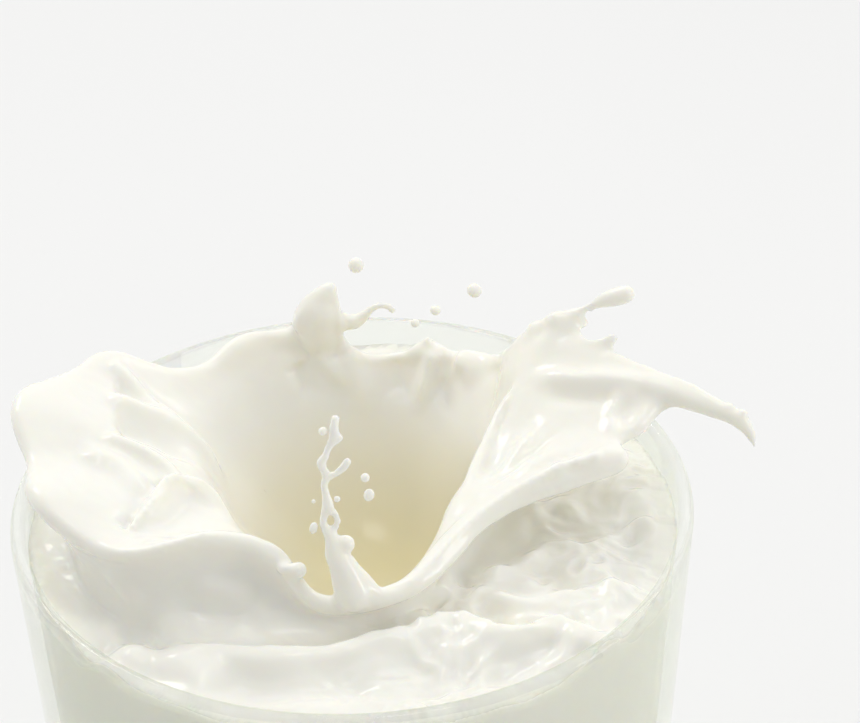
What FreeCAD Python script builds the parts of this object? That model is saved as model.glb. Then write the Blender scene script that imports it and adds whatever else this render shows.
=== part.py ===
"""A tumbler of milk caught mid-splash.

Two pieces, in millimetres, with the origin at the middle of the tumbler's flat foot and +Z up:
the glass tumbler, and the milk that fills it. Something poured into the milk has opened a
crater and thrown its walls up as a crown, with a wide wing on the right, a second one on the
left, a horn at the back and thin strands that run out into drops.

The milk is one closed skin of flat facets. It is laid out as rows round the crater: down in
the bowl, up the inside of the crown, over its lip, down the outside, across the pool to the
glass, and down the glass to the floor. Strands are grown out of patches of that skin.
"""

import FreeCAD, Part
import math
import os

import Mesh

# ---- tumbler -------------------------------------------------------------------------------
GLASS_HEIGHT = 120.0
RIM_RADIUS = 43.0  # outside, at the top
BASE_RADIUS = 35.3  # outside, at the foot
WALL = 2.0
FOOT = 9.0  # thickness of the glass under the milk
HEEL = 3.0  # rounding of the outer bottom edge
CORNER = 7.0  # rounding inside, where the wall meets the floor
RIM_ROUND = 0.47 * WALL

# ---- milk ----------------------------------------------------------------------------------
FILM = 0.02  # gap between milk and glass, so that the two solids only touch
FREEBOARD = 3.5  # from the rim down to the level of the pool
BOWL_DEPTH = 14.0  # the crater's floor, below the pool
BOWL_SHIFT = (5.0, -2.0)  # the crater's floor lies off its mouth, the way the milk came in
BOWL_BROAD = 0.65  # share of the crater's radius that its floor's curve spans
BOWL_STEEP = 0.6  # share of the crater's depth over which its wall keeps its slope
CRATER = (0.0, 3.0)  # the crater's axis at pool level
SHEET = 0.75  # half the thickness of the thrown sheet
LIP = 1.25  # half the thickness of its rolled lip
ROLL_START = 0.72  # share of the way up the sheet where it starts to thicken into its lip
ROOT_TAPER = 1.5  # how fast the thickened root of the crown's wall thins upwards
THIN_ROOT = 3.0  # a sheet whose root is no thicker than this hangs over the pool
FULL_BANK = 8.0  # one whose root is this thick has a full bank of milk under it
BANK_HOLLOW = 1.5  # how far a bank's side draws in between its lip and its foot
BANK_LOW = 0.3  # share of the lip's height at which it does
LOWEST_UNDERSIDE = 0.3  # the sheet's underside stays this far above the pool
FILLET = 2.2  # hollow where the crown's outside meets the pool
SWELL = 0.7  # height of the pool's waves
CALM = 1 / 3  # share of the way from the crown to the glass over which the waves rise

# Columns of the skin, closer together at the wing.
COLUMNS = 104
DENSE_AZIMUTH = 8.0
DENSITY = 0.4

BOWL_ROWS = 6
SHEET_ROWS = 9
LIP_ROWS = 3
UNDER_ROWS = 8
FILLET_ROWS = 3
POOL_ROWS = 6
SIDE_ROWS = 2
CORNER_ROWS = 3
ROOT_STOPS = 3  # stops over which a strand turns from its root's outline to a round one

# The crown's section at azimuths round the crater, counted from +X towards +Y:
# azimuth, wall radius at the pool, shoulder radius, shoulder height, lip radius, lip height,
# and the radius where its outside meets the pool. Heights are above the pool.
CROWN = (
    (-100, 20.0, 23.0, 2.5, 24.8, 4.0, 27.0),
    (-74, 18.5, 21.5, 3.5, 24.3, 4.8, 23.6),
    (-55, 16.0, 18.0, 5.5, 21.4, 5.8, 20.0),
    (-38, 14.5, 15.5, 7.5, 20.6, 7.2, 17.5),
    (-24, 14.2, 15.0, 9.0, 24.0, 8.4, 16.5),
    (-13, 14.5, 15.5, 9.5, 31.2, 10.0, 16.8),
    (0, 14.8, 16.5, 10.5, 35.6, 11.6, 17.0),
    (8, 16.1, 19.0, 12.0, 38.6, 14.2, 18.4),
    (14, 17.0, 21.0, 13.0, 35.6, 15.4, 19.3),
    (21, 18.2, 23.0, 14.0, 31.6, 16.4, 20.5),
    (29, 19.4, 24.5, 14.0, 30.2, 18.0, 21.7),
    (37, 20.4, 25.0, 11.0, 28.0, 14.2, 22.8),
    (46, 21.2, 25.4, 6.5, 28.0, 8.6, 24.5),
    (56, 21.8, 26.0, 4.5, 28.4, 6.6, 26.0),
    (74, 22.0, 25.0, 4.5, 26.4, 5.8, 27.0),
    (88, 22.0, 24.8, 4.5, 25.8, 5.2, 27.0),
    (106, 22.0, 26.0, 6.0, 28.0, 8.6, 27.5),
    (140, 21.0, 25.5, 5.5, 30.0, 8.0, 29.0),
    (153, 19.5, 24.5, 6.0, 36.0, 12.6, 31.0),
    (175, 17.0, 20.5, 8.0, 40.5, 14.5, 35.0),
    (198, 15.5, 18.5, 6.5, 40.0, 12.4, 36.5),
    (218, 15.5, 17.5, 5.5, 36.0, 10.2, 36.5),
    (230, 17.0, 19.5, 7.0, 28.5, 11.4, 35.5),
    (240, 18.0, 21.0, 8.0, 24.6, 11.0, 33.0),
    (248, 18.6, 22.0, 7.0, 23.6, 9.0, 30.5),
    (254, 19.4, 22.6, 5.0, 24.0, 6.6, 28.5),
)

# Swellings of the lip: azimuth, half width, extra reach, extra rise, extra thickness.
LOBES = (
    (-10.0, 3.0, 1.2, 0.2, 0.6),  # the wing's lower corner
    (-5.0, 2.2, -1.8, 0.2, 0.0),
    (3.0, 2.5, 0.8, -0.2, 0.2),
    (27.0, 3.0, 0.8, 0.6, 0.2),  # the wing's upper corner
    (69.0, 2.4, 0.3, 2.2, 0.1),  # the nub at the back
    (98.0, 5.0, 0.6, 4.2, 0.6),  # the foot of the horn
    (120.0, 6.0, 0.4, 0.9, 0.2),
    (132.0, 5.0, -0.3, -0.6, 0.0),
    (150.0, 5.0, 0.3, 0.8, 0.2),
    (162.0, 6.0, -1.4, -0.6, 0.0),  # the left wing's end, in three tongues
    (176.0, 6.0, 0.7, 1.0, 0.4),
    (189.0, 5.0, -1.8, -1.2, 0.0),
    (201.0, 6.0, 0.6, 0.9, 0.4),
    (213.0, 5.0, -1.0, -0.6, 0.0),
    (231.0, 4.0, 0.2, 0.7, 0.1),
    (251.0, 2.6, -0.3, 0.5, 0.5),  # the swollen end of the left lobe
)


def outer_radius(z):
    return BASE_RADIUS + (RIM_RADIUS - BASE_RADIUS) * z / GLASS_HEIGHT


def rounded(corners):
    """Edges through corners (x, z, radius), each turned on an arc of its radius."""
    points = [FreeCAD.Vector(x, 0, z) for x, z, _ in corners]
    edges = []
    start = points[0]
    for before, here, after, corner in zip(points, points[1:], points[2:], corners[1:]):
        back = (before - here).normalize()
        on = (after - here).normalize()
        half = back.getAngle(on) / 2
        trim = corner[2] / math.tan(half)
        enter = here + back * trim
        leave = here + on * trim
        middle = (back + on).normalize()
        crown = here + middle * (corner[2] / math.sin(half) - corner[2])
        edges.append(Part.makeLine(start, enter))
        edges.append(Part.Arc(enter, crown, leave).toShape())
        start = leave
    edges.append(Part.makeLine(start, points[-1]))
    return edges


def tumbler():
    floor_radius = outer_radius(FOOT) - WALL
    corners = (
        (0.0, 0.0, 0.0),
        (BASE_RADIUS, 0.0, HEEL),
        (RIM_RADIUS, GLASS_HEIGHT, RIM_ROUND),
        (RIM_RADIUS - WALL, GLASS_HEIGHT, RIM_ROUND),
        (floor_radius, FOOT, CORNER),
        (0.0, FOOT, 0.0),
    )
    edges = rounded(corners)
    axis = Part.makeLine(FreeCAD.Vector(0, 0, FOOT), FreeCAD.Vector(0, 0, 0))
    section = Part.Face(Part.Wire(edges + [axis]))
    return section.revolve(FreeCAD.Vector(0, 0, 0), FreeCAD.Vector(0, 0, 1), 360)


def ease(x):
    """0 below 0, 1 above 1, and smooth between."""
    x = min(max(x, 0.0), 1.0)
    return x * x * (3 - 2 * x)


def bell(x):
    return math.exp(-x * x)


def turn_between(a, b):
    """The signed angle from a to b, in degrees, at most half a turn."""
    return (b - a + 180.0) % 360.0 - 180.0


def hermite(p, q, slope_p, slope_q, span, u):
    return (
        p * (1 + 2 * u) * (1 - u) ** 2
        + slope_p * span * u * (1 - u) ** 2
        + q * u * u * (3 - 2 * u)
        + slope_q * span * u * u * (u - 1)
    )


def crown_section(azimuth):
    """The columns of CROWN at any azimuth, on a smooth closed curve through its rows."""
    count = len(CROWN)
    first = CROWN[0][0]
    swept = (azimuth - first) % 360.0
    turns = [row[0] - first for row in CROWN] + [360.0]
    k = max(i for i in range(count) if turns[i] <= swept)
    span = turns[k + 1] - turns[k]
    u = (swept - turns[k]) / span
    before, here, after, beyond = (CROWN[(k + step) % count] for step in (-1, 0, 1, 2))
    lead = turn_between(before[0], here[0]) + span
    tail = span + turn_between(after[0], beyond[0])
    values = []
    for column in range(1, len(here)):
        slope_here = (after[column] - before[column]) / lead
        slope_after = (beyond[column] - here[column]) / tail
        values.append(hermite(here[column], after[column], slope_here, slope_after, span, u))
    return values


def swell(x, y):
    """The pool's waves: a few trains of crests that cross."""
    return SWELL * (
        0.5 * math.sin(0.55 * x + 0.25 * y + 0.8)
        + 0.4 * math.sin(0.31 * x - 0.62 * y)
        + 0.3 * math.sin(0.93 * x + 0.77 * y + 2.0) * math.sin(0.35 * x - 0.21 * y)
    )


def section_rows(azimuth):
    """(radius, height) from the bowl's floor over the lip to the foot of the crown."""
    wall, bend_r, bend_h, lip_r, lip_h, foot = crown_section(azimuth)
    roll = LIP
    for where, width, reach, rise, thick in LOBES:
        share = bell(turn_between(where, azimuth) / width)
        lip_r += reach * share
        lip_h += rise * share
        roll += thick * share

    def middle(t):
        """The sheet's middle line: both inner controls of the curve are the shoulder."""
        a, b, c = (1 - t) ** 3, 3 * t * (1 - t), t**3
        return a * wall + b * bend_r + c * lip_r, b * bend_h + c * lip_h

    def across(t):
        """The unit normal of that line, towards the crater."""
        r0, h0 = middle(max(t - 0.01, 0.0))
        r1, h1 = middle(min(t + 0.01, 1.0))
        length = math.hypot(r1 - r0, h1 - h0)
        return -(h1 - h0) / length, (r1 - r0) / length

    def half(t):
        return SHEET + (roll - SHEET) * ease((t - ROLL_START) / (1 - ROLL_START))

    rows = []
    wall_r, wall_h = middle(0.0)
    nr, nh = across(0.0)
    wall_r += nr * half(0)
    wall_h += nh * half(0)
    fall = BOWL_DEPTH * BOWL_STEEP
    for k in range(1, BOWL_ROWS + 1):
        t = k / (BOWL_ROWS + 1)
        a, b, c, d = (1 - t) ** 3, 3 * t * (1 - t) ** 2, 3 * t * t * (1 - t), t**3
        r = b * BOWL_BROAD * wall + c * (wall_r - fall * nh) + d * wall_r
        h = -(a + b) * BOWL_DEPTH + c * (wall_h + fall * nr) + d * wall_h
        rows.append((r, h))
    for k in range(SHEET_ROWS + 1):
        t = k / SHEET_ROWS
        r, h = middle(t)
        nr, nh = across(t)
        rows.append((r + nr * half(t), h + nh * half(t)))
    r, h = middle(1.0)
    nr, nh = across(1.0)
    for k in range(1, LIP_ROWS + 1):
        turn = math.pi * k / (LIP_ROWS + 1)
        out, over = math.sin(turn), math.cos(turn)
        rows.append((r + roll * (nh * out + nr * over), h + roll * (nh * over - nr * out)))
    lowest = min(0.5, FILLET / (bend_h + lip_h))
    root = foot - wall - SHEET
    banked = ease((root - THIN_ROOT) / (FULL_BANK - THIN_ROOT))
    lip_edge = (r - nr * roll, h - nh * roll)
    hollow = (min(lip_r, foot) - BANK_HOLLOW, lip_h * BANK_LOW)
    for k in range(UNDER_ROWS + 1):
        down = k / UNDER_ROWS
        t = 1 - (1 - lowest) * down
        r, h = middle(t)
        nr, nh = across(t)
        thin = (r - nr * half(t) + root * (1 - t) ** ROOT_TAPER, h - nh * half(t))
        a, b, c = (1 - down) ** 2, 2 * down * (1 - down), down**2
        bank = (
            a * lip_edge[0] + b * hollow[0] + c * foot,
            a * lip_edge[1] + b * hollow[1],
        )
        r, h = (low + (high - low) * banked for low, high in zip(thin, bank))
        rows.append((r, max(h, LOWEST_UNDERSIDE)))
    foot_r, foot_h = rows[-1]
    for k in range(1, FILLET_ROWS + 1):
        turn = math.pi / 2 * k / FILLET_ROWS
        rows.append((foot_r + FILLET * (1 - math.cos(turn)), foot_h * (1 - math.sin(turn))))
    return rows


def column_azimuth(k):
    turn = 2 * math.pi * k / COLUMNS
    return DENSE_AZIMUTH + math.degrees(turn - DENSITY * math.sin(turn))


def milk_rows():
    """The skin's rows of points from the crater's floor to the edge of the tumbler's floor."""
    level = GLASS_HEIGHT - FREEBOARD
    columns = []
    for k in range(COLUMNS):
        azimuth = column_azimuth(k)
        cos, sin = math.cos(math.radians(azimuth)), math.sin(math.radians(azimuth))
        column = []
        for r, h in section_rows(azimuth):
            sunk = max(-h, 0.0) / BOWL_DEPTH
            x = CRATER[0] + BOWL_SHIFT[0] * sunk + r * cos
            y = CRATER[1] + BOWL_SHIFT[1] * sunk + r * sin
            column.append((x, y, level + h))
        x0, y0, _ = column[-1]
        reach = outer_radius(level) - WALL - FILM
        turn = math.atan2(y0, x0)
        for step in range(1, POOL_ROWS + 1):
            share = step / POOL_ROWS
            x = x0 + (reach * math.cos(turn) - x0) * share
            y = y0 + (reach * math.sin(turn) - y0) * share
            z = level + swell(x, y) * ease(share / CALM)
            if step == POOL_ROWS:
                edge = outer_radius(z) - WALL - FILM
                x, y = edge * math.cos(turn), edge * math.sin(turn)
            column.append((x, y, z))
        slope = (RIM_RADIUS - BASE_RADIUS) / GLASS_HEIGHT
        lean = math.atan(slope)
        centre_z = FOOT + CORNER
        centre_r = outer_radius(centre_z) - WALL - CORNER / math.cos(lean)
        bend = CORNER - FILM
        corner = []
        for step in range(CORNER_ROWS + 1):
            dip = -lean + (math.pi / 2 + lean) * step / CORNER_ROWS
            corner.append((centre_r + bend * math.cos(dip), centre_z - bend * math.sin(dip)))
        top = column[-1][2]
        for step in range(1, SIDE_ROWS + 1):
            z = top + (corner[0][1] - top) * step / (SIDE_ROWS + 1)
            edge = outer_radius(z) - WALL - FILM
            column.append((edge * math.cos(turn), edge * math.sin(turn), z))
        for r, z in corner:
            column.append((r * math.cos(turn), r * math.sin(turn), z))
        columns.append(column)
    return [list(row) for row in zip(*columns)]


class Skin:
    """A closed skin of triangles that share their points."""

    def __init__(self):
        self.points = []
        self.quads = {}
        self.triangles = []

    def add(self, point):
        self.points.append(FreeCAD.Vector(*point))
        return len(self.points) - 1

    def lay(self, rows, first_pole, last_pole):
        """Rows of points joined by quads, and closed by a pole at each end."""
        self.grid = [[self.add(p) for p in row] for row in rows]
        columns = len(rows[0])
        start, end = self.add(first_pole), self.add(last_pole)
        for c in range(columns):
            d = (c + 1) % columns
            self.triangles.append((start, self.grid[0][c], self.grid[0][d]))
            self.triangles.append((end, self.grid[-1][d], self.grid[-1][c]))
            for r in range(len(rows) - 1):
                lower, upper = self.grid[r], self.grid[r + 1]
                self.quads[(r, c)] = (lower[c], upper[c], upper[d], lower[d])

    def patch(self, row, column, rows, columns):
        """Takes out a block of quads and gives the points round it, in the quads' own turn."""
        count = len(self.grid[0])
        cols = [(column + k) % count for k in range(columns + 1)]
        for r in range(row, row + rows):
            for c in cols[:-1]:
                del self.quads[(r, c)]
        ring = [self.grid[r][cols[0]] for r in range(row, row + rows)]
        ring += [self.grid[row + rows][c] for c in cols[:-1]]
        ring += [self.grid[r][cols[-1]] for r in range(row + rows, row, -1)]
        ring += [self.grid[row][c] for c in reversed(cols[1:])]
        return ring

    def grow(self, ring, path, radii):
        """A tube from a ring of points along path, closed by a point at its end.

        It keeps the outline of that first ring at its root and turns round within ROOT_STOPS.
        """
        count = len(ring)
        centre = sum((self.points[i] for i in ring), FreeCAD.Vector()) * (1 / count)
        stops = [centre] + path
        heading = (stops[1] - stops[0]).normalize()
        side = self.points[ring[0]] - centre
        side = (side - heading * side.dot(heading)).normalize()
        up = heading.cross(side)
        spokes = [self.points[i] - centre for i in ring]
        outline = [(spoke.dot(side), spoke.dot(up)) for spoke in spokes]
        breadth = sum(math.hypot(a, b) for a, b in outline) / count
        for k, radius in enumerate(radii, 1):
            ahead = stops[min(k + 1, len(stops) - 1)] - stops[k - 1]
            heading = FreeCAD.Vector(ahead).normalize()
            side = (side - heading * side.dot(heading)).normalize()
            up = heading.cross(side)
            round_share = min(k / ROOT_STOPS, 1.0)
            above = []
            for step, (a, b) in enumerate(outline):
                turn = 2 * math.pi * step / count
                a += (breadth * math.cos(turn) - a) * round_share
                b += (breadth * math.sin(turn) - b) * round_share
                above.append(self.add(stops[k] + (side * a + up * b) * (radius / breadth)))
            self.band(ring, above)
            ring = above
        tip = self.add(stops[-1] + heading * radii[-1] * 0.7)
        for a, b in zip(ring, ring[1:] + ring[:1]):
            self.triangles.append((a, b, tip))

    def band(self, ring, above):
        count = len(ring)
        for k in range(count):
            m = (k + 1) % count
            self.triangles.append((ring[k], ring[m], above[m]))
            self.triangles.append((ring[k], above[m], above[k]))

    def solid(self):
        corners = list(self.triangles)
        for a, b, c, d in self.quads.values():
            if (self.points[a] - self.points[c]).Length < (self.points[b] - self.points[d]).Length:
                corners += [(a, b, c), (a, c, d)]
            else:
                corners += [(a, b, d), (b, c, d)]
        mesh = Mesh.Mesh([[self.points[i] for i in face] for face in corners])
        shape = Part.Shape()
        shape.makeShapeFromMesh(mesh.Topology, 0.001)
        return Part.Solid(shape)


def nearest_column(azimuth):
    gaps = [abs(turn_between(column_azimuth(k), azimuth)) for k in range(COLUMNS)]
    return gaps.index(min(gaps))


# Strands: azimuth of the root, columns and rows of the lip that it takes, then its stops
# (x, y, height above the pool, radius).
STRANDS = {
    "wing tendril": (
        8.5,
        4,
        4,
        (
            (41.4, 6.8, 14.4, 1.5),
            (44.0, 5.2, 14.2, 1.25),
            (46.4, 4.0, 13.4, 1.05),
            (48.6, 3.2, 12.6, 1.2),
            (50.2, 2.3, 11.0, 0.8),
            (50.7, 1.4, 9.2, 0.35),
        ),
    ),
    "wing finger": (
        27.0,
        3,
        4,
        (
            (30.6, 17.4, 20.4, 0.85),
            (32.5, 17.2, 21.5, 0.85),
            (34.4, 16.9, 22.2, 1.35),
            (35.6, 16.8, 22.9, 1.1),
        ),
    ),
    "wing barb": (
        18.0,
        2,
        4,
        (
            (32.8, 13.6, 17.4, 0.7),
            (33.8, 13.8, 18.2, 0.75),
        ),
    ),
    "horn": (
        98.0,
        3,
        5,
        (
            (-4.4, 28.6, 12.6, 3.3),
            (-3.7, 28.9, 14.8, 2.4),
            (-2.7, 29.1, 16.6, 1.2),
            (-2.2, 29.2, 17.4, 0.5),
        ),
    ),
    "front strand": (
        -86.0,
        2,
        2,
        (
            (0.6, -21.4, 7.0, 2.1),
            (-1.6, -20.6, 9.8, 1.3),
            (-3.0, -19.4, 13.4, 0.8),
            (-3.4, -18.0, 17.4, 0.65),
            (-2.6, -16.8, 21.2, 0.7),
            (-1.6, -15.8, 24.4, 0.9),
            (-1.2, -15.2, 26.8, 0.7),
        ),
    ),
}


def milk():
    level = GLASS_HEIGHT - FREEBOARD
    skin = Skin()
    rows = milk_rows()
    floor = (CRATER[0] + BOWL_SHIFT[0], CRATER[1] + BOWL_SHIFT[1], level - BOWL_DEPTH)
    skin.lay(rows, floor, (0.0, 0.0, FOOT + FILM))
    lip_row = BOWL_ROWS + SHEET_ROWS
    for azimuth, columns, depth, stops in STRANDS.values():
        column = nearest_column(azimuth) - columns // 2
        ring = skin.patch(lip_row, column, depth, columns)
        path = [FreeCAD.Vector(x, y, level + h) for x, y, h, _ in stops]
        skin.grow(ring, path, [radius for *_, radius in stops])
    return skin.solid()


def main():
    os.makedirs("parts", exist_ok=True)
    for name, shape in (("glass", tumbler()), ("milk", milk())):
        if not shape.isValid() or not shape.isClosed():
            print(name, "is not a valid closed solid")
        print(name, "volume", round(shape.Volume / 1000, 2), "ml", "faces", len(shape.Faces))
        shape.exportStep(f"parts/{name}.step")


main()
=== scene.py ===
import math

import bmesh
import bpy
import numpy as np
from mathutils import Matrix, Vector, noise


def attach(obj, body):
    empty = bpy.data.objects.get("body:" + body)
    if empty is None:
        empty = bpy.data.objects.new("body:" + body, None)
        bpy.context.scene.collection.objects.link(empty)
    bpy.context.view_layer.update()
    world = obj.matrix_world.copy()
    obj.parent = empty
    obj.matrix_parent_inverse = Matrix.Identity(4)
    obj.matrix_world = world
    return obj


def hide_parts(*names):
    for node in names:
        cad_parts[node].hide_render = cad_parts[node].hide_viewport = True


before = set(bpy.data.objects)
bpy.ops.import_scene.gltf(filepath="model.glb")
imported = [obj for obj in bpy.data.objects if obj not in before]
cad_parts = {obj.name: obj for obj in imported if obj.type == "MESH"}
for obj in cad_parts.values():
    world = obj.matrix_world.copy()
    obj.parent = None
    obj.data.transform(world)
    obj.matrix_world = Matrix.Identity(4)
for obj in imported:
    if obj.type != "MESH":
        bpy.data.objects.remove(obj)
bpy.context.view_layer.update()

MM = 0.001

# The tumbler, in mm.
RIM_HEIGHT = 120.0
RIM_RADIUS = 43.0
BASE_RADIUS = 35.3
WALL = 2.0
FOOT = 9.0
HEEL = 3.0
CORNER = 7.0
RIM_ROUND = 0.94

# The milk, in mm. Heights of the splash are counted from the pool's level.
LEVEL = 116.5  # height of the pool
CUT = 112.5  # below this the milk only follows the glass
BENEATH = 98.0  # lower than the crater's floor
CRATER_CENTRE = (3.0, 2.0)
CRATER_DEPTH = 13.0
CRATER_EDGE = 31.0  # nothing of the crater lies further out from the glass's axis
STRAND_FOOT = 10.6  # above this the front strand is beads and a loop
SINK = 0.13  # how far the milk's side reaches into the wall
MENISCUS = 0.7  # how high the milk climbs where it wets the glass
SKIN_VOXEL = 0.30
MOST_TRIANGLES = 186000

UP = (0.0, 0.0, 1.0)


# ---------------------------------------------------------------- small tools


def fade(x):
    """0 below 0, 1 above 1, smooth between; takes numbers or arrays."""
    x = np.clip(x, 0.0, 1.0)
    return x * x * (3 - 2 * x)


def outer_radius(z):
    """The glass's outer radius at height z."""
    return BASE_RADIUS + (RIM_RADIUS - BASE_RADIUS) * z / RIM_HEIGHT


def inner_radius(z):
    """The glass's inner radius at height z."""
    return outer_radius(z) - WALL


def worked(bm, kind, **settings):
    """A new bmesh: bm after one modifier of that kind."""
    mesh = bpy.data.meshes.new("on_the_bench")
    bm.to_mesh(mesh)
    bm.free()
    piece = bpy.data.objects.new("on_the_bench", mesh)
    bpy.context.collection.objects.link(piece)
    modifier = piece.modifiers.new(kind.lower(), kind)
    for name, value in settings.items():
        setattr(modifier, name, value)
    done = piece.evaluated_get(bpy.context.evaluated_depsgraph_get())
    result = bmesh.new()
    result.from_mesh(done.to_mesh())
    done.to_mesh_clear()
    bpy.data.objects.remove(piece)
    bpy.data.meshes.remove(mesh)
    return result


def places(bm):
    """Every vertex as (x, y, height above the pool), in mm."""
    spots = np.array([v.co for v in bm.verts]) / MM
    spots[:, 2] -= LEVEL
    return spots


def facings(bm):
    bm.normal_update()
    return np.array([v.normal for v in bm.verts])


def settle(bm, spots):
    """Puts every vertex at its place given in mm above the pool."""
    spots = spots.copy()
    spots[:, 2] += LEVEL
    spots *= MM
    for v, spot in zip(bm.verts, spots):
        v.co = spot


def curve_through(stops, step):
    """Points along a smooth curve through stops, about step apart; further columns follow."""
    stops = [np.array(s, float) for s in stops]
    if len(stops) == 1:
        return stops
    ends = [2 * stops[0] - stops[1]] + stops + [2 * stops[-1] - stops[-2]]
    points = []
    for p, a, b, q in zip(ends, ends[1:], ends[2:], ends[3:]):
        count = max(2, int(np.linalg.norm(b[:3] - a[:3]) / step))
        for k in range(count):
            u = k / count
            points.append(
                0.5 * (2 * a + (b - p) * u + (2 * p - 5 * a + 4 * b - q) * u * u
                       + (3 * a - p - 3 * b + q) * u ** 3)
            )
    points.append(stops[-1])
    return points


def along(spots, path):
    """How far each spot is from a path, its share of the way along it, and the nearest point."""
    path = np.array(curve_through(path, 1.2))[:, :3]
    runs = np.linalg.norm(np.diff(path, axis=0), axis=1)
    total = runs.sum()
    gap = np.full(len(spots), 1e9)
    share = np.zeros(len(spots))
    nearest = np.zeros((len(spots), 3))
    gone = 0.0
    for a, b, run in zip(path, path[1:], runs):
        t = np.clip(((spots - a) @ (b - a)) / run ** 2, 0, 1)
        foot = a + t[:, None] * (b - a)
        d = np.linalg.norm(spots - foot, axis=1)
        closer = d < gap
        gap = np.where(closer, d, gap)
        share = np.where(closer, (gone + t * run) / total, share)
        nearest[closer] = foot[closer]
        gone += run
    return gap, share, nearest


# ------------------------------------------------------------- milk: relief


def ridge(spots, normals, path, width, height, ends=(0.25, 0.25), toward=UP, skirt=None):
    """Milk heaped along a path, tapering over the shares `ends`; negative height is a groove.

    Only the side that faces `toward` takes it. skirt is a level direction and a width: on that
    side of the path the heap runs out over that width, and the path is followed in plan.
    """
    path = np.array(path, float)
    seen = spots.copy()
    if skirt:
        path[:, 2] = 0
        seen[:, 2] = 0
    gap, share, nearest = along(seen, path)
    reach = np.full(len(spots), float(width))
    if skirt:
        beyond = (seen - nearest) @ np.array(skirt[0], float)
        reach += (skirt[1] - width) * fade(beyond / 1.2)
    taper = fade(share / max(ends[0], 1e-3)) * fade((1 - share) / max(ends[1], 1e-3))
    side = fade(normals @ np.array(toward, float) / 0.35)
    lift = height * taper * side * np.exp(-(gap / reach) ** 2)
    spots += normals * lift[:, None]


def knob(spots, normals, centre, width, height, toward=None):
    """One round swelling, or with a negative height a dimple or a pinch."""
    gap = np.linalg.norm(spots - np.array(centre, float), axis=1)
    lift = height * np.exp(-(gap / width) ** 2)
    if toward is not None:
        lift *= fade(normals @ np.array(toward, float) / 0.35)
    spots += normals * lift[:, None]


def string(bm, stops):
    """A string of milk through stops (x, y, height above the pool, radius)."""
    for x, y, h, r in curve_through(stops, 0.4):
        place = Matrix.Translation(Vector((x, y, LEVEL + h)) * MM)
        bmesh.ops.create_icosphere(
            bm, subdivisions=3 if r > 0.9 else 2, radius=r * MM, matrix=place
        )


def wing_folds(spots, normals):
    """The right wing: a crease, a spine with a hollow under it, pleats and an ear."""
    valley = [(14.4, -7.4, 8.1), (17.0, -2.8, 9.3), (18.6, 1.8, 10.1), (20.6, 5.6, 11.4),
              (23.6, 8.0, 13.2)]
    ridge(spots, normals, valley, 2.0, -1.1, (0.4, 0.35))
    spine = [(22.4, 10.0, 13.4), (25.2, 10.0, 14.6), (28.6, 9.1, 14.8), (32.0, 8.7, 15.0),
             (35.6, 8.0, 15.0), (39.4, 7.0, 15.0)]
    ridge(spots, normals, spine, 1.3, 1.2, (0.3, 0.25))
    hollow = [(23.4, 7.8, 13.2), (26.8, 6.9, 13.5), (31.0, 6.3, 13.8), (35.0, 5.9, 14.0)]
    ridge(spots, normals, hollow, 0.9, -0.4, (0.3, 0.4))
    for path, width, height in (
        ([(14.6, -6.3, 8.5), (18.0, -2.8, 9.6), (21.7, 1.0, 10.9), (25.5, 4.4, 12.2),
          (29.2, 6.4, 13.6)], 1.2, 0.5),
        ([(13.4, -9.6, 7.6), (16.8, -6.9, 9.0), (20.5, -4.4, 10.0), (24.8, -2.0, 11.1),
          (29.0, 0.2, 12.0)], 1.2, 0.45),
        ([(16.0, -6.8, 8.8), (20.6, -2.2, 10.3), (24.4, 1.2, 11.6), (28.0, 3.4, 12.8)], 1.1,
         -0.6),
        ([(16.4, -8.6, 8.6), (20.8, -6.2, 9.7), (25.4, -3.9, 10.9)], 0.9, -0.5),
    ):
        ridge(spots, normals, path, width, height, (0.3, 0.4))
    ear = [(32.8, -0.2, 12.1), (32.6, 2.4, 12.5), (32.9, 4.8, 13.3), (34.7, 6.6, 14.3),
           (37.0, 6.8, 14.6)]
    ridge(spots, normals, ear, 0.8, 0.75, (0.3, 0.3))
    knob(spots, normals, (34.4, 4.0, 13.1), 2.1, -0.6, UP)
    knob(spots, normals, (36.2, 3.0, 12.4), 1.3, 0.35)
    # The finger's neck, and the knuckles under it.
    knob(spots, normals, (28.6, 17.2, 19.4), 1.5, -0.35)
    knob(spots, normals, (30.6, 17.4, 20.6), 1.5, -0.5)
    for centre, width, height in (
        ((26.2, 17.1, 19.3), 1.2, 0.7), ((23.4, 18.2, 17.2), 1.1, 0.6),
        ((24.6, 16.4, 17.6), 1.0, -0.5), ((28.0, 15.0, 18.2), 1.3, -0.5),
    ):
        knob(spots, normals, centre, width, height)


def near_lip_folds(spots, normals):
    """Beads and nicks along the wing's near lip."""
    for centre, width, height in (
        ((22.4, -6.2, 10.2), 0.9, 0.5), ((24.2, -5.6, 10.5), 0.7, -0.4),
        ((25.8, -5.1, 10.9), 0.9, 0.6), ((27.6, -4.8, 11.3), 0.6, -0.5),
        ((28.9, -4.4, 11.6), 0.9, 0.6), ((30.4, -4.0, 11.9), 0.6, -0.4),
    ):
        knob(spots, normals, centre, width, height, UP)


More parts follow.
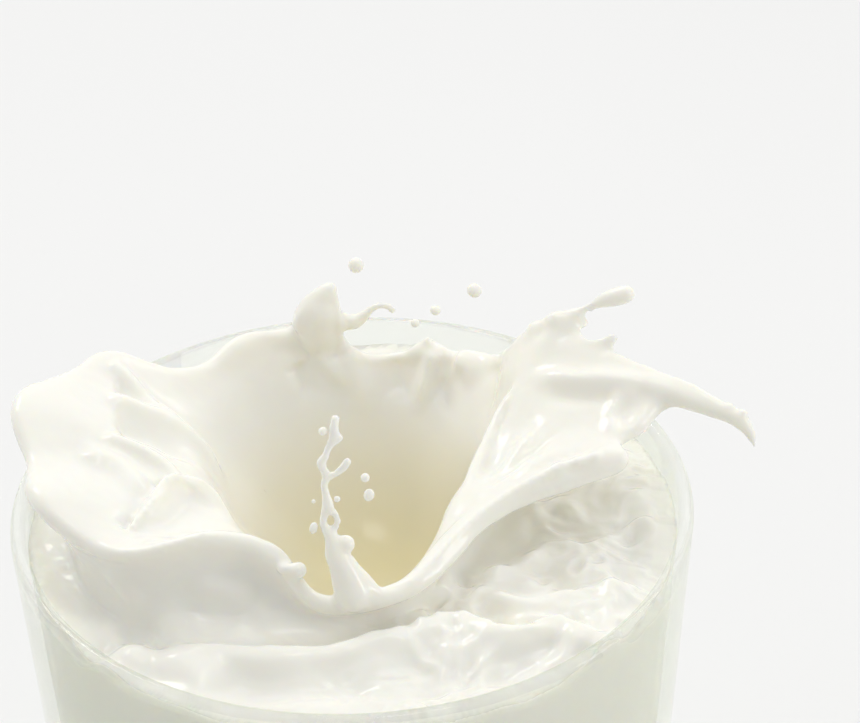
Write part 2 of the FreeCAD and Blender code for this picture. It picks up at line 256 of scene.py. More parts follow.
def left_folds(spots, normals):
    """Ribs, folds and the standing crest inside the crown's left bank."""
    inward = (0.6, 0.0, 0.8)
    ribs = (
        ([(-31.4, 9.8, 12.4), (-29.2, 10.9, 11.4), (-25.4, 11.0, 9.4), (-22.4, 10.8, 7.4),
          (-20.0, 10.6, 4.6), (-18.0, 9.4, 1.6), (-15.6, 7.8, -1.4)], 1.5, 1.5),
        ([(-31.4, 18.0, 13.6), (-28.3, 15.7, 11.4), (-25.6, 13.4, 9.4), (-22.6, 12.2, 7.2),
          (-20.4, 11.6, 5.0)], 1.2, 1.1),
        ([(-31.4, 2.4, 12.2), (-28.8, 2.4, 11.5), (-26.5, 2.0, 10.4), (-23.9, 1.0, 9.3),
          (-21.8, -1.0, 8.2), (-20.8, -3.4, 7.6)], 0.9, 1.3),
        ([(-33.0, -1.6, 12.4), (-29.6, -1.2, 11.4), (-27.0, -3.8, 10.4), (-25.0, -6.8, 9.6)],
         1.7, 1.2),
    )
    for path, width, height in ribs:
        ridge(spots, normals, path, width, height, (0.1, 0.35), inward)
    hollows = (
        ([(-30.4, 6.4, 11.8), (-27.5, 6.6, 11.0), (-24.6, 6.8, 9.4), (-21.8, 5.6, 7.6),
          (-19.6, 3.0, 6.0)], 2.1, -2.0),
        ([(-30.6, 14.2, 12.4), (-27.0, 13.2, 10.4), (-24.0, 12.2, 8.4)], 1.3, -1.0),
        ([(-27.8, -13.4, 10.6), (-25.0, -11.6, 9.6)], 1.7, -1.0),
        ([(-23.4, -2.0, 8.8), (-22.6, -4.6, 8.6)], 1.1, -0.8),
    )
    for path, width, height in hollows:
        ridge(spots, normals, path, width, height, (0.2, 0.4), inward)
    crest = [(-26.6, -13.8, 9.6), (-25.2, -10.8, 9.2), (-24.0, -7.8, 8.8), (-22.8, -4.6, 8.4),
             (-21.2, -2.6, 7.6), (-19.4, -2.2, 6.4), (-17.4, -3.0, 4.8), (-15.6, -4.0, 3.0),
             (-14.0, -5.2, 1.0)]
    ridge(
        spots, normals, crest, 0.7, 2.4, (0.25, 0.3), inward, skirt=((0.3, -0.95, 0), 1.5)
    )


def outer_left_folds(spots, normals):
    """The left bank's outside: lobes that roll down to the pool, hollows between them."""
    outward = (-0.3, -0.9, 0.3)
    for path, width, height in (
        ([(-31.0, -18.4, 6.6), (-27.4, -19.6, 4.2), (-25.0, -20.2, 2.6)], 1.4, 1.2),
        ([(-29.4, -21.6, 0.6), (-26.4, -21.8, 0.6), (-22.8, -22.2, 0.8)], 1.5, -1.4),
        ([(-20.0, -19.4, 6.4), (-15.6, -19.6, 5.2), (-10.8, -20.0, 4.0)], 1.6, 0.8),
        ([(-22.0, -20.6, 3.4), (-16.8, -21.2, 2.2), (-11.0, -21.6, 2.0)], 1.5, -0.7),
    ):
        ridge(spots, normals, path, width, height, (0.3, 0.3), outward)
    for x, y, width, height in (
        (-26.4, -26.6, 2.6, 1.9), (-21.6, -28.6, 2.6, 1.2), (-30.6, -24.6, 1.8, -1.0),
        (-23.4, -24.0, 1.5, -1.0), (-17.4, -30.6, 2.2, 0.9),
    ):
        knob(spots, normals, (x, y, 0.0), width, height, UP)


def back_flutes(spots, normals):
    """Soft upright flutes on the crater's back wall."""
    inward = (0.0, -0.8, 0.6)
    for path, width, height in (
        ([(10.6, 27.3, 8.2), (9.8, 26.2, 5.4), (9.2, 24.6, 2.8), (8.2, 22.6, 0.0)], 1.0, 1.7),
        ([(-1.4, 28.0, 7.4), (0.2, 26.8, 4.4), (1.6, 25.0, 1.6), (2.6, 22.8, -0.8)], 1.8, 1.2),
        ([(6.0, 27.4, 6.6), (6.0, 25.6, 3.6), (5.8, 23.4, 0.8)], 1.8, -0.7),
        ([(13.5, 26.4, 6.8), (15.5, 24.9, 6.5), (16.8, 21.6, 5.8)], 1.6, 1.3),
        ([(12.0, 25.6, 4.6), (12.0, 22.6, 1.6), (11.4, 20.4, -0.4)], 1.3, -0.7),
        ([(19.6, 21.0, 9.6), (17.4, 17.8, 7.0), (14.6, 14.6, 4.2)], 2.2, -0.8),
        ([(-4.9, 28.0, 7.4), (-3.7, 27.8, 6.4), (-2.2, 27.0, 4.6), (-0.4, 25.6, 2.4)], 1.2,
         1.3),
        ([(-7.6, 27.4, 6.4), (-6.6, 26.4, 3.8), (-5.0, 24.4, 1.0)], 1.4, -0.9),
    ):
        ridge(spots, normals, path, width, height, (0.1, 0.5), inward)


def pool_waves(spots, normals):
    """The waves that the crown pushes out over the pool in front and on the right."""
    front = (0, -1, 0)
    kept = spots.copy()
    first = [(-24.0, -24.0, 0.4), (-18.5, -26.4, 0.6), (-12.5, -27.2, 0.8), (-6.5, -27.6, 1.0),
             (-0.9, -27.0, 1.0), (3.5, -25.0, 1.2), (8.3, -23.9, 1.6), (11.0, -22.2, 1.2),
             (13.2, -21.8, 1.0), (15.6, -23.6, 1.2), (18.9, -25.6, 1.6), (22.0, -24.2, 1.2),
             (24.4, -23.2, 1.0), (26.4, -24.8, 1.2), (28.8, -26.2, 1.4), (32.2, -23.4, 1.0),
             (34.4, -20.4, 0.8)]
    ridge(spots, normals, first, 1.5, 2.4, (0.12, 0.12), UP, (front, 3.0))
    trough = [(-20.0, -31.6, 0.0), (-8.0, -32.6, 0.0), (4.0, -31.4, 0.0), (16.0, -31.6, 0.0),
              (25.0, -30.4, 0.0)]
    ridge(spots, normals, trough, 2.6, -1.2, (0.2, 0.2), UP)
    second = [(7.6, -17.6, 0.6), (12.2, -15.4, 0.6), (16.8, -16.6, 0.6), (21.6, -18.6, 0.6),
              (26.0, -16.6, 0.6), (32.0, -16.4, 0.5)]
    ridge(spots, normals, second, 1.5, 1.0, (0.1, 0.2), UP, (front, 1.3))
    for x, y, width, height in (
        (8.3, -23.4, 1.4, 1.5), (18.9, -25.2, 1.4, 1.5), (28.6, -25.8, 1.4, 1.3),
        (10.9, -19.0, 1.9, -1.5), (17.0, -20.8, 1.9, -1.4), (26.2, -21.0, 1.9, -1.3),
        (3.4, -22.6, 1.6, -0.9), (24.2, -12.6, 1.6, -0.9), (18.0, -12.4, 1.6, 1.3),
        (22.6, -9.4, 1.6, 1.1), (29.6, -12.0, 1.3, 1.0), (10.6, -13.8, 1.8, 1.2),
        (14.4, -14.2, 1.5, -0.8), (33.4, -8.4, 1.3, 1.0), (36.2, -2.4, 1.3, 0.9),
        (34.6, -5.0, 1.1, -0.8), (31.8, -15.4, 1.2, 0.9), (36.4, 3.6, 1.2, 0.8),
        (27.2, -15.2, 1.2, -0.8), (22.0, -14.6, 1.3, 0.9),
    ):
        knob(spots, normals, (x, y, 0.5), width, height, UP)
    above = fade((kept[:, 2] - 2.4) / 2.0)[:, None]  # the crown keeps its shape
    spots += (kept - spots) * above


def churn(spots, normals):
    """Small lively waves on the pool, strongest on the right, none on the crown."""
    out = np.hypot(spots[:, 0], spots[:, 1] - 3.0)
    flat = fade((normals[:, 2] - 0.5) / 0.3) * fade((3.6 - spots[:, 2]) / 2.0)
    pool = flat * fade((out - 19.0) / 5.0)
    strength = 0.3 + 0.7 * fade((spots[:, 0] + 4.0) / 16.0)
    lift = np.zeros(len(spots))

    def crests(value):
        return 1.0 - 2.4 * math.sqrt(value * value + 0.012)

    def drift(at):
        return Vector([noise.noise(at + Vector((0.0, 0.0, 17.3 * k))) for k in (1, 2, 3)])

    for k in np.nonzero(pool > 0.01)[0]:
        x, y, h = spots[k]
        place = Vector((x, y, 0.3 * h))
        folded = place + drift(place * 0.09) * 4.0
        broad = crests(noise.noise(folded * 0.13))
        small = crests(noise.noise(folded * 0.29 + Vector((7.0, 3.0, 1.0))))
        tiny = noise.noise(folded * 0.7 + Vector((1.0, 9.0, 4.0)))
        lift[k] = 0.75 * broad + 0.45 * small + 0.1 * tiny
    spots[:, 2] += lift * pool * strength


def shiver(spots, normals):
    """The unevenness that thrown milk has all over, a tenth of a millimetre or so."""
    high = fade((spots[:, 2] - 2.0) / 4.0)
    lift = np.zeros(len(spots))
    for k in np.nonzero(high > 0.01)[0]:
        place = Vector(spots[k])
        lift[k] = 0.12 * noise.noise(place * 0.22) + 0.05 * noise.noise(place * 0.6)
    spots += normals * (lift * high)[:, None]


# ------------------------------------------------------------- milk: pieces


def crown_strings(bm):
    """Beads, curls and knobs that the crown throws off and still holds."""
    # The wing's rolled near lip, thick where it hangs over the pool.
    string(bm, [(2.0, -21.6, 4.3, 1.1), (5.5, -20.6, 4.6, 1.3), (8.2, -18.9, 5.2, 1.4),
                (10.9, -14.8, 5.7, 1.45), (14.4, -10.7, 6.9, 1.5), (18.0, -7.8, 7.9, 1.6),
                (22.3, -5.3, 8.8, 1.75), (26.7, -3.8, 9.6, 1.85), (30.2, -3.0, 10.3, 1.95),
                (31.9, -2.4, 10.8, 1.7)])
    # The thread along that lip's upper edge, and the beads that it breaks into.
    string(bm, [(7.4, -20.2, 6.0, 0.45), (10.2, -16.8, 6.7, 0.5), (13.4, -12.9, 7.8, 0.5),
                (17.2, -9.2, 8.9, 0.55), (21.6, -6.6, 10.1, 0.55), (25.0, -5.2, 11.0, 0.5)])
    string(bm, [(24.8, -5.2, 11.0, 0.6), (26.0, -4.7, 11.3, 0.75), (27.0, -4.5, 11.4, 0.5),
                (28.2, -4.2, 11.7, 0.7), (29.2, -4.0, 11.8, 0.5), (30.4, -3.7, 12.1, 0.7)])
    # The crease that stands between the crater and the wing.
    string(bm, [(13.0, -8.8, 7.0, 0.7), (13.9, -6.6, 7.4, 0.85), (14.9, -3.0, 7.9, 0.9),
                (15.9, 0.6, 8.3, 0.9), (17.2, 4.6, 8.8, 0.9), (18.5, 8.0, 9.5, 0.9),
                (20.4, 10.8, 11.0, 0.9), (22.4, 11.8, 12.8, 0.8), (25.0, 12.4, 14.6, 0.6)])
    # The horn's foot and its side finger, and the nub on the back wall.
    string(bm, [(-4.0, 28.6, 13.4, 2.4), (-4.4, 29.4, 10.8, 3.0), (-4.2, 30.2, 8.4, 3.0)])
    string(bm, [(-3.6, 28.8, 11.4, 1.7), (-1.6, 29.0, 11.5, 1.25), (0.4, 29.0, 11.5, 0.98),
                (1.4, 29.0, 12.1, 0.75), (2.6, 29.0, 13.3, 0.52), (3.7, 29.0, 13.9, 0.45),
                (4.7, 29.0, 13.8, 0.45), (5.4, 29.0, 13.2, 0.5)])
    string(bm, [(-6.6, 28.4, 11.8, 1.3), (-6.0, 28.2, 13.4, 1.2), (-5.2, 28.4, 14.8, 0.9)])
    string(bm, [(7.6, 28.2, 6.4, 1.0), (9.6, 27.8, 7.4, 1.4), (11.6, 28.0, 6.8, 1.1)])
    string(bm, [(9.7, 27.8, 8.0, 0.9), (10.0, 27.8, 9.1, 0.6)])
    # The thin edge of the crest that stands in the left bank.
    string(bm, [(-26.4, -13.0, 10.0, 0.4), (-25.0, -10.0, 10.4, 0.45), (-23.6, -7.0, 10.8, 0.5),
                (-22.2, -4.6, 11.1, 0.55), (-20.6, -3.2, 9.7, 0.5), (-18.6, -3.2, 7.9, 0.45),
                (-16.8, -4.0, 5.9, 0.4), (-15.4, -4.8, 4.0, 0.35)])
    # The bead at the end of the left lobe.
    string(bm, [(-8.0, -20.5, 8.6, 0.8), (-7.0, -20.6, 8.7, 0.75), (-6.1, -20.5, 8.4, 1.15)])
    # The front strand: beads, one loop, one branch.
    string(bm, [(0.4, -21.7, 5.6, 2.4), (-0.5, -21.0, 8.4, 1.85), (-1.5, -20.4, 10.6, 1.35),
                (-1.9, -19.8, 12.3, 0.9), (-2.5, -19.5, 13.3, 0.62), (-2.9, -19.2, 14.2, 0.52),
                (-2.8, -18.8, 15.2, 0.52), (-2.3, -18.5, 16.3, 0.78), (-2.5, -18.1, 17.5, 0.62),
                (-2.7, -17.7, 18.8, 0.58), (-2.4, -17.4, 19.8, 0.62), (-2.7, -17.1, 20.7, 0.58),
                (-3.0, -16.9, 21.5, 0.58), (-2.4, -16.7, 22.3, 0.48), (-2.2, -16.4, 23.0, 0.45),
                (-1.7, -16.2, 23.8, 0.55), (-1.3, -15.8, 24.9, 0.68), (-1.3, -15.6, 25.7, 0.62),
                (-1.1, -15.2, 26.6, 0.55)])
    string(bm, [(-1.6, -16.1, 23.6, 0.45), (-0.7, -15.9, 24.3, 0.6)])
    string(bm, [(-2.3, -19.4, 13.4, 0.5), (-1.6, -19.3, 13.5, 0.42), (-1.2, -19.1, 14.5, 0.42),
                (-1.5, -18.9, 15.5, 0.42), (-2.2, -18.6, 16.0, 0.5)])
    string(bm, [(-1.9, -19.9, 12.0, 0.6), (-1.1, -19.9, 11.5, 0.55), (-0.3, -19.9, 11.7, 1.12)])
    string(bm, [(-2.3, -17.5, 19.7, 0.5), (-1.2, -17.3, 20.2, 0.47), (-0.4, -17.1, 20.8, 0.58),
                (0.2, -16.9, 21.6, 0.6)])
    # The wing's finger: a hanging bead and a swollen end.
    string(bm, [(29.2, 17.6, 18.8, 0.8), (29.9, 17.5, 17.9, 0.75)])
    string(bm, [(32.2, 17.2, 21.5, 0.85), (33.6, 17.0, 22.0, 1.15), (35.3, 16.8, 22.6, 1.2)])
    # The tendril, thicker at its root, with bumps by its tip.
    string(bm, [(37.6, 8.0, 14.2, 1.9), (40.2, 7.2, 14.0, 1.75), (42.8, 5.8, 13.8, 1.45),
                (45.2, 4.6, 13.4, 1.3), (47.2, 3.9, 12.9, 1.2), (49.0, 3.2, 12.1, 1.0)])
    string(bm, [(47.6, 3.8, 13.9, 0.65)])
    string(bm, [(49.2, 3.2, 13.3, 0.7)])


def side_ring(bm, height, radius):
    """One more ring of milk below the open edge, at that height and radius."""
    rim = [e for e in bm.edges if e.is_boundary]
    grown = bmesh.ops.extrude_edge_only(bm, edges=rim)["geom"]
    for v in (g for g in grown if isinstance(g, bmesh.types.BMVert)):
        turn = math.atan2(v.co.y, v.co.x)
        v.co = Vector((radius * math.cos(turn), radius * math.sin(turn), height)) * MM


def fill_the_glass(bm):
    """Takes the milk from the cut down the wall of the glass, round its corner, to its floor."""
    for height in (CUT - 1, 108.0, 90.0, 66.0, 42.0, 22.0):
        side_ring(bm, height, inner_radius(height) + SINK)
    middle = inner_radius(FOOT + CORNER) + SINK - CORNER
    for turn in (0, 22.5, 45, 67.5, 90):
        a = math.radians(turn)
        low = FOOT + CORNER - SINK - CORNER * math.sin(a)
        side_ring(bm, low, middle + CORNER * math.cos(a))
    side_ring(bm, FOOT - SINK, middle / 2)
    bmesh.ops.contextual_create(bm, geom=[e for e in bm.edges if e.is_boundary])


def with_edges(faces):
    """The faces with their corners and edges, each once and in the same order every time."""
    verts = dict.fromkeys(v for f in faces for v in f.verts)
    edges = dict.fromkeys(e for f in faces for e in f.edges)
    return [*verts, *edges, *faces]


def trim_strand(bm):
    """Takes off the plain front strand above its foot, where beads and a loop take over."""
    def of_strand(face):
        middle = face.calc_center_median() / MM
        high = middle.z > LEVEL + STRAND_FOOT - 1
        return high and middle.y < -13 and abs(middle.x + 1.5) < 4.6

    strand = with_edges([f for f in bm.faces if of_strand(f)])
    cut = bmesh.ops.bisect_plane(
        bm, geom=strand, plane_co=(0, 0, (LEVEL + STRAND_FOOT) * MM), plane_no=UP,
        clear_outer=True,
    )
    rim = [g for g in cut["geom_cut"] if isinstance(g, bmesh.types.BMEdge)]
    bmesh.ops.contextual_create(bm, geom=rim)


def calm(bm):
    """Smooths the skin: a little on the thin strings, more everywhere else."""
    def thin(v):
        x, y, z = v.co / MM
        h = z - LEVEL
        front_strand = h > 9.5 and y < -14 and -5.5 < x < 2
        horn_finger = h > 10.4 and y > 26 and x > 0
        return front_strand or horn_finger

    broad = [v for v in bm.verts if not thin(v)]
    for verts, times in ((bm.verts[:], 2), (broad, 6)):
        for _ in range(times):
            bmesh.ops.smooth_vert(
                bm, verts=verts, factor=0.5, use_axis_x=True, use_axis_y=True, use_axis_z=True
            )


def open_the_side(bm):
    """Takes off the plain side and bottom below the cut, leaving one open rim by the glass."""
    def plain(face):
        middle = face.calc_center_median() / MM
        by_glass = math.hypot(middle.x, middle.y) > CRATER_EDGE
        return middle.z < CUT + 2 and (by_glass or face.normal.z < -0.2)

    bm.normal_update()
    shell = with_edges([f for f in bm.faces if plain(f)])
    bmesh.ops.bisect_plane(
        bm, geom=shell, plane_co=(0, 0, CUT * MM), plane_no=UP, clear_inner=True
    )


def meet_the_glass(spots, normals):
    """Presses the milk's side into the wall and raises its edge where it wets the glass."""
    height = LEVEL + spots[:, 2]
    wall = inner_radius(height)
    out = np.hypot(spots[:, 0], spots[:, 1])
    low = fade((2.5 - spots[:, 2]) / 1.5)
    spots[:, 2] += low * MENISCUS * np.exp(-np.clip(wall - out, 0, None) / 0.9) * fade(
        (spots[:, 2] + 2.0) / 1.5
    )
    outward = (normals[:, :2] * spots[:, :2]).sum(axis=1) / np.maximum(out, 1e-6)
    side = fade((outward - 0.55) / 0.2) * fade((out - (wall - 3.0)) / 0.5)
    near = low * np.maximum(side, fade((out - (wall - 0.45)) / 0.35))
    grow = 1 + near * (wall + SINK - out) / np.maximum(out, 1e-6)
    spots[:, 0] *= grow
    spots[:, 1] *= grow


def drop_loose_bits(bm):
    """Keeps the largest connected piece and takes out specks and bubbles inside it."""
    unseen = dict.fromkeys(bm.verts)
    bits = []
    while unseen:
        bit = [unseen.popitem()[0]]
        for v in bit:
            for w in (e.other_vert(v) for e in v.link_edges):
                if w in unseen:
                    del unseen[w]
                    bit.append(w)
        bits.append(bit)
    bits.sort(key=len)
    bmesh.ops.delete(bm, geom=[v for bit in bits[:-1] for v in bit], context="VERTS")


def pour_milk():
    """The milk as one skin: crater, thrown crown with its strings, pool and filling."""
    bm = bmesh.new()
    bm.from_mesh(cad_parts["milk"].data)
    bmesh.ops.remove_doubles(bm, verts=bm.verts, dist=0.001 * MM)
    bmesh.ops.join_triangles(
        bm, faces=bm.faces, angle_face_threshold=math.pi, angle_shape_threshold=math.pi
    )
    cut = bmesh.ops.bisect_plane(
        bm, geom=bm.verts[:] + bm.edges[:] + bm.faces[:], plane_co=(0, 0, BENEATH * MM),
        plane_no=UP, clear_inner=True,
    )
    rim = [g for g in cut["geom_cut"] if isinstance(g, bmesh.types.BMEdge)]
    bmesh.ops.contextual_create(bm, geom=rim)
    bm = worked(bm, "SUBSURF", levels=2, render_levels=2)
    trim_strand(bm)

    spots, normals = places(bm), facings(bm)
    for work in (
        wing_folds, near_lip_folds, left_folds, outer_left_folds, back_flutes, pool_waves
    ):
        work(spots, normals)
    settle(bm, spots)
    crown_strings(bm)

    bm = worked(bm, "REMESH", mode="VOXEL", voxel_size=SKIN_VOXEL * MM, adaptivity=0.0)
    calm(bm)
    open_the_side(bm)
    spots, normals = places(bm), facings(bm)
    churn(spots, normals)
    shiver(spots, normals)
    meet_the_glass(spots, normals)
    settle(bm, spots)

    count = sum(len(f.verts) - 2 for f in bm.faces)
    if count > MOST_TRIANGLES:
        bm = worked(
            bm, "DECIMATE", decimate_type="COLLAPSE", ratio=MOST_TRIANGLES / count,
            use_collapse_triangulate=True,
        )
    drop_loose_bits(bm)
    fill_the_glass(bm)
    bmesh.ops.recalc_face_normals(bm, faces=bm.faces)
    for face in bm.faces:
        face.smooth = True
    return bm


def blow_tumbler():
    """The glass, spun from its section, its edges rounded before the spin."""
    slope = (RIM_RADIUS - BASE_RADIUS) / RIM_HEIGHT
    bm = bmesh.new()

    def arc(x, z, r, start, end, steps):
        turns = [math.radians(start + (end - start) * k / steps) for k in range(steps + 1)]
        return [(x + r * math.cos(t), z + r * math.sin(t)) for t in turns]

    tilt = math.degrees(math.atan(slope))
    heel_x = outer_radius(HEEL) - HEEL * (1 / math.cos(math.radians(tilt)))
    corner_x = inner_radius(FOOT + CORNER) - CORNER / math.cos(math.radians(tilt))
    rim_z = RIM_HEIGHT - RIM_ROUND
    section = [(0.0, 0.0), (heel_x * 0.5, 0.0)]
    section += arc(heel_x, HEEL, HEEL, -90, -tilt, 10)
    for z in (20, 40, 60, 80, 100):
        section.append((outer_radius(z), z))
    section += arc(outer_radius(rim_z) - WALL / 2, rim_z, WALL / 2, -tilt, 180 - tilt, 12)
    for z in (100, 80, 60, 40, 24):
        section.append((inner_radius(z), z))
    section += arc(corner_x, FOOT + CORNER, CORNER, -tilt, -90, 10)
    section += [(corner_x * 0.5, FOOT), (0.0, FOOT)]
    verts = [bm.verts.new(Vector((x, 0, z)) * MM) for x, z in section]
    edges = [bm.edges.new(pair) for pair in zip(verts, verts[1:])]
    bmesh.ops.spin(
        bm, geom=verts + edges, cent=(0, 0, 0), axis=(0, 0, 1), angle=2 * math.pi, steps=192,
        use_merge=True,
    )
    bmesh.ops.remove_doubles(bm, verts=bm.verts, dist=0.002 * MM)
    bmesh.ops.recalc_face_normals(bm, faces=bm.faces)
    for face in bm.faces:
        face.smooth = True
    return bm


def throw_drops():
    """Drops in the air: four over the far rim, the rest beside the front strand."""
    bm = bmesh.new()
    lean = Matrix.Rotation(math.radians(14), 4, "Y")
    for x, y, height, radius, squat in (
        (1.0, 24.0, 23.4, 1.0, 1.06), (16.2, 24.0, 19.1, 0.98, 0.96),
        (11.1, 26.0, 14.9, 0.72, 0.9), (8.4, 27.0, 12.3, 0.58, 1.0),
        (-2.6, -15.7, 25.2, 0.53, 1.0), (-1.2, -18.1, 17.0, 0.38, 1.0),
        (2.2, -17.5, 19.6, 0.54, 1.05), (2.6, -18.1, 17.5, 0.64, 1.25),
        (-4.1, -19.3, 13.7, 0.5, 1.6), (-4.0, -18.3, 16.9, 0.26, 1.0),
    ):
        place = Matrix.Translation(Vector((x, y, LEVEL + height)) * MM)
        shape = Matrix.Diagonal((1.0, 1.0, squat, 1.0))
        bmesh.ops.create_icosphere(
            bm, subdivisions=4, radius=radius * MM, matrix=place @ lean @ shape
        )
    for face in bm.faces:
        face.smooth = True
    return bm


# ---------------------------------------------------------------- materials


def material(name):
    """A new material: itself, its nodes, its links, its shader and its Object coordinates."""
    finish = bpy.data.materials.new(name)
    finish.use_nodes = True
    nodes, links = finish.node_tree.nodes, finish.node_tree.links
    spot = nodes.new("ShaderNodeTexCoord").outputs["Object"]
    return finish, nodes, links, nodes["Principled BSDF"], spot


def unevenness(nodes, links, shader, spot, scale, strength, depth):
    """A faint bump of noise all over; depth is in mm."""
    grain = nodes.new("ShaderNodeTexNoise")
    grain.inputs["Scale"].default_value = scale
    bump = nodes.new("ShaderNodeBump")
    bump.inputs["Strength"].default_value = strength
    bump.inputs["Distance"].default_value = depth * MM
    links.new(spot, grain.inputs["Vector"])
    links.new(grain.outputs["Fac"], bump.inputs["Height"])
    links.new(bump.outputs["Normal"], shader.inputs["Normal"])


def share_between(nodes, links, value, low, high):
    """0 where value is low and 1 where it is high, both in mm."""
    share = nodes.new("ShaderNodeMapRange")
    share.inputs["From Min"].default_value = low * MM
    share.inputs["From Max"].default_value = high * MM
    links.new(value, share.inputs["Value"])
    return share.outputs["Result"]


def milk_finish():
    """Full-cream milk: warm white, glossy, light soaks in; painted shade down in the crater,
    where the base colour turns darker and yellower.
    """
    finish, nodes, links, shader, spot = material("full_cream_milk")
    shader.inputs["Roughness"].default_value = 0.17
    shader.inputs["IOR"].default_value = 1.36
    shader.inputs["Subsurface Weight"].default_value = 0.5
    shader.inputs["Subsurface Radius"].default_value = (1.0, 0.82, 0.5)
    shader.inputs["Subsurface Scale"].default_value = 1.5 * MM

    parts = nodes.new("ShaderNodeSeparateXYZ")
    links.new(spot, parts.inputs[0])
    high = share_between(nodes, links, parts.outputs["Z"], LEVEL - CRATER_DEPTH, LEVEL + 1.5)
    in_plan = nodes.new("ShaderNodeVectorMath")
    in_plan.operation = "MULTIPLY"
    in_plan.inputs[1].default_value = (1, 1, 0)
    links.new(spot, in_plan.inputs[0])
    off_centre = nodes.new("ShaderNodeVectorMath")
    off_centre.operation = "DISTANCE"
    off_centre.inputs[1].default_value = (CRATER_CENTRE[0] * MM, CRATER_CENTRE[1] * MM, 0)
    links.new(in_plan.outputs["Vector"], off_centre.inputs[0])
    outside = share_between(nodes, links, off_centre.outputs["Value"], 22, 30)
    plain = nodes.new("ShaderNodeMath")
    plain.operation = "MAXIMUM"
    links.new(high, plain.inputs[0])
    links.new(outside, plain.inputs[1])
    # Painted shade: the base colour is darker and yellower low down in the crater and near its
    # middle, and plain cream on the crown and out by the glass.
    tone = nodes.new("ShaderNodeValToRGB")
    tone.color_ramp.elements[0].color = (0.77, 0.70, 0.45, 1)
    tone.color_ramp.elements[1].color = (0.955, 0.94, 0.87, 1)
    links.new(plain.outputs["Value"], tone.inputs["Fac"])

    mottle = nodes.new("ShaderNodeTexNoise")
    mottle.inputs["Scale"].default_value = 90
    mottle.inputs["Detail"].default_value = 3
    links.new(spot, mottle.inputs["Vector"])
    shade = nodes.new("ShaderNodeMixRGB")
    shade.blend_type = "MULTIPLY"
    shade.inputs["Fac"].default_value = 0.05
    links.new(tone.outputs["Color"], shade.inputs["Color1"])
    links.new(mottle.outputs["Fac"], shade.inputs["Color2"])
    links.new(shade.outputs["Color"], shader.inputs["Base Color"])
    unevenness(nodes, links, shader, spot, 420, 0.05, 0.2)
    return finish


def glass_finish():
    """Clear pressed glass with a pale green cast, greener where it is seen edge-on."""
    finish, nodes, links, shader, spot = material("pale_green_glass")
    shader.inputs["Roughness"].default_value = 0.02
    shader.inputs["IOR"].default_value = 1.48
    shader.inputs["Transmission Weight"].default_value = 1.0
    shader.inputs["Alpha"].default_value = 0.4
    facing = nodes.new("ShaderNodeLayerWeight")
    facing.inputs["Blend"].default_value = 0.35
    tint = nodes.new("ShaderNodeValToRGB")
    tint.color_ramp.elements[0].color = (0.94, 0.98, 0.86, 1)
    tint.color_ramp.elements[0].position = 0.15
    tint.color_ramp.elements[1].color = (0.50, 0.68, 0.20, 1)
    tint.color_ramp.elements[1].position = 0.95
    links.new(facing.outputs["Facing"], tint.inputs["Fac"])
    links.new(tint.outputs["Color"], shader.inputs["Base Color"])
    unevenness(nodes, links, shader, spot, 60, 0.04, 0.3)
    return finish


def floor_finish():
    """A pale matt sheet, very slightly cloudy."""
    finish, nodes, links, shader, spot = material("pale_floor")
    shader.inputs["Roughness"].default_value = 0.7
    cloud = nodes.new("ShaderNodeTexNoise")
    cloud.inputs["Scale"].default_value = 5
    tone = nodes.new("ShaderNodeValToRGB")
    tone.color_ramp.elements[0].color = (0.83, 0.83, 0.825, 1)
    tone.color_ramp.elements[1].color = (0.85, 0.85, 0.845, 1)
    links.new(spot, cloud.inputs["Vector"])
    links.new(cloud.outputs["Fac"], tone.inputs["Fac"])
    links.new(tone.outputs["Color"], shader.inputs["Base Color"])
    return finish


# ------------------------------------------------------------------ assembly


def piece(name, bm, finish):
    """An object in the scene, made from bm."""
    mesh = bpy.data.meshes.new(name)
    bm.to_mesh(mesh)
    bm.free()
    mesh.materials.append(finish)
    made = bpy.data.objects.new(name, mesh)
    bpy.context.collection.objects.link(made)
    return made


cream = milk_finish()
clear = glass_finish()

milk = piece("poured_milk", pour_milk(), cream)
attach(milk, "root")
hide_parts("milk")

tumbler = piece("tumbler", blow_tumbler(), clear)
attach(tumbler, "root")
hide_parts("glass")

drops = piece("airborne_drops", throw_drops(), cream)
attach(drops, "root")

for node, finish in (("milk", cream), ("glass", clear)):
    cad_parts[node].data.materials.clear()
    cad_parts[node].data.materials.append(finish)

# ---------------------------------------------------------------- the studio

sheet = bmesh.new()
bmesh.ops.create_grid(sheet, x_segments=1, y_segments=1, size=3.0)
ground = piece("studio_floor", sheet, floor_finish())


RIM_CENTRE = Vector((0.0, 0.0, RIM_HEIGHT)) * MM


def softbox(name, place, width, height, power, colour=(1, 1, 1)):
    """A rectangular lamp aimed at the rim; sizes in metres, power in watts."""
    lamp = bpy.data.lights.new(name, "AREA")
    lamp.shape = "RECTANGLE"
    lamp.size, lamp.size_y = width, height
    lamp.energy = power
    lamp.color = colour
    box = bpy.data.objects.new(name, lamp)
    box.location = place
    box.rotation_mode = "QUATERNION"
    box.rotation_quaternion = (RIM_CENTRE - Vector(place)).to_track_quat("-Z", "Y")
    bpy.context.collection.objects.link(box)


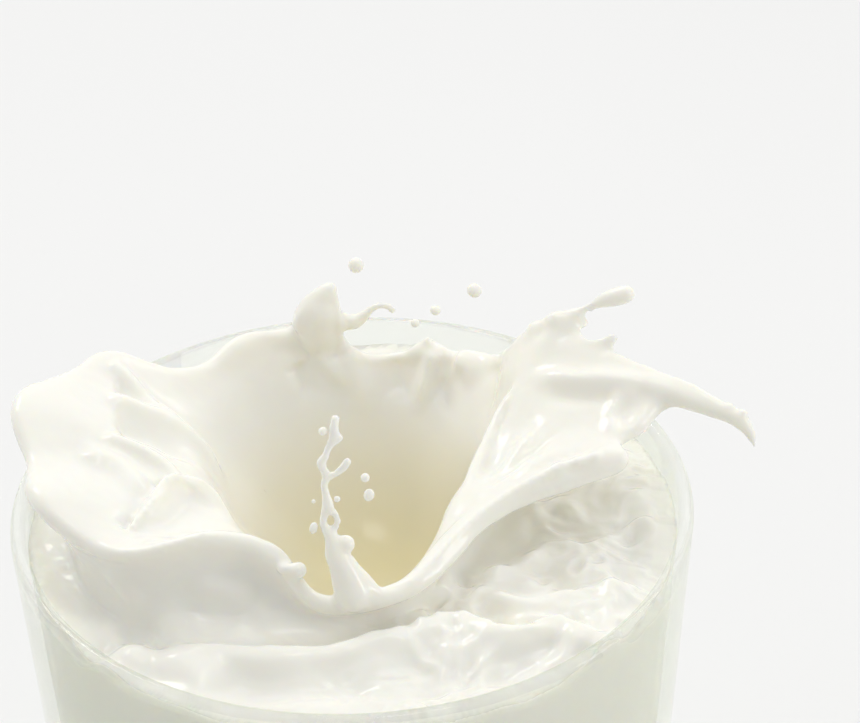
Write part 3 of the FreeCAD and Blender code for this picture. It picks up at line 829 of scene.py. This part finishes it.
softbox("key_behind_left", (-0.32, 0.45, 0.72), 0.3, 0.18, 1.35, (1.0, 1.0, 0.98))
softbox("overhead", (0.12, 0.0, 0.95), 0.2, 0.2, 0.5)
softbox("low_right", (0.74, -0.16, 0.34), 0.2, 0.3, 1.2)
softbox("strip_behind_right", (0.42, 0.5, 0.55), 0.05, 0.4, 0.3)


def studio_air():
    """White light from all round, strongest from behind and above on the left."""
    world = bpy.data.worlds.new("studio_air")
    world.use_nodes = True
    nodes, links = world.node_tree.nodes, world.node_tree.links
    way = nodes.new("ShaderNodeTexCoord")
    rise = nodes.new("ShaderNodeVectorMath")
    rise.operation = "DOT_PRODUCT"
    rise.inputs[1].default_value = (-0.3, 0.62, 0.72)
    glow = nodes.new("ShaderNodeMapRange")
    glow.inputs["From Min"].default_value = -0.7
    glow.inputs["From Max"].default_value = 0.95
    glow.inputs["To Min"].default_value = 0.42
    glow.inputs["To Max"].default_value = 0.92
    links.new(way.outputs["Generated"], rise.inputs[0])
    links.new(rise.outputs["Value"], glow.inputs["Value"])
    links.new(glow.outputs["Result"], nodes["Background"].inputs["Strength"])
    nodes["Background"].inputs["Color"].default_value = (1, 1, 1, 1)
    return world


def main_camera():
    """Straight on, looking down into the glass."""
    elevation = math.radians(33.8)
    roll = math.radians(-1.35)
    away = 391.3
    target = Vector((10.22, 0.0, RIM_HEIGHT + 20.75))
    ahead = Vector((0, math.cos(elevation), -math.sin(elevation)))
    view = bpy.data.cameras.new("main_view")
    view.sensor_width = 36
    view.lens = 133.95
    view.clip_start, view.clip_end = 0.01, 20
    camera = bpy.data.objects.new("main_view", view)
    camera.rotation_mode = "QUATERNION"
    level = ahead.to_track_quat("-Z", "Y")
    camera.rotation_quaternion = level @ Matrix.Rotation(roll, 3, "Z").to_quaternion()
    camera.location = (target - ahead * away) * MM
    bpy.context.collection.objects.link(camera)
    return camera


bpy.context.scene.world = studio_air()
bpy.context.scene.camera = main_camera()
bpy.context.scene.view_settings.view_transform = "Standard"
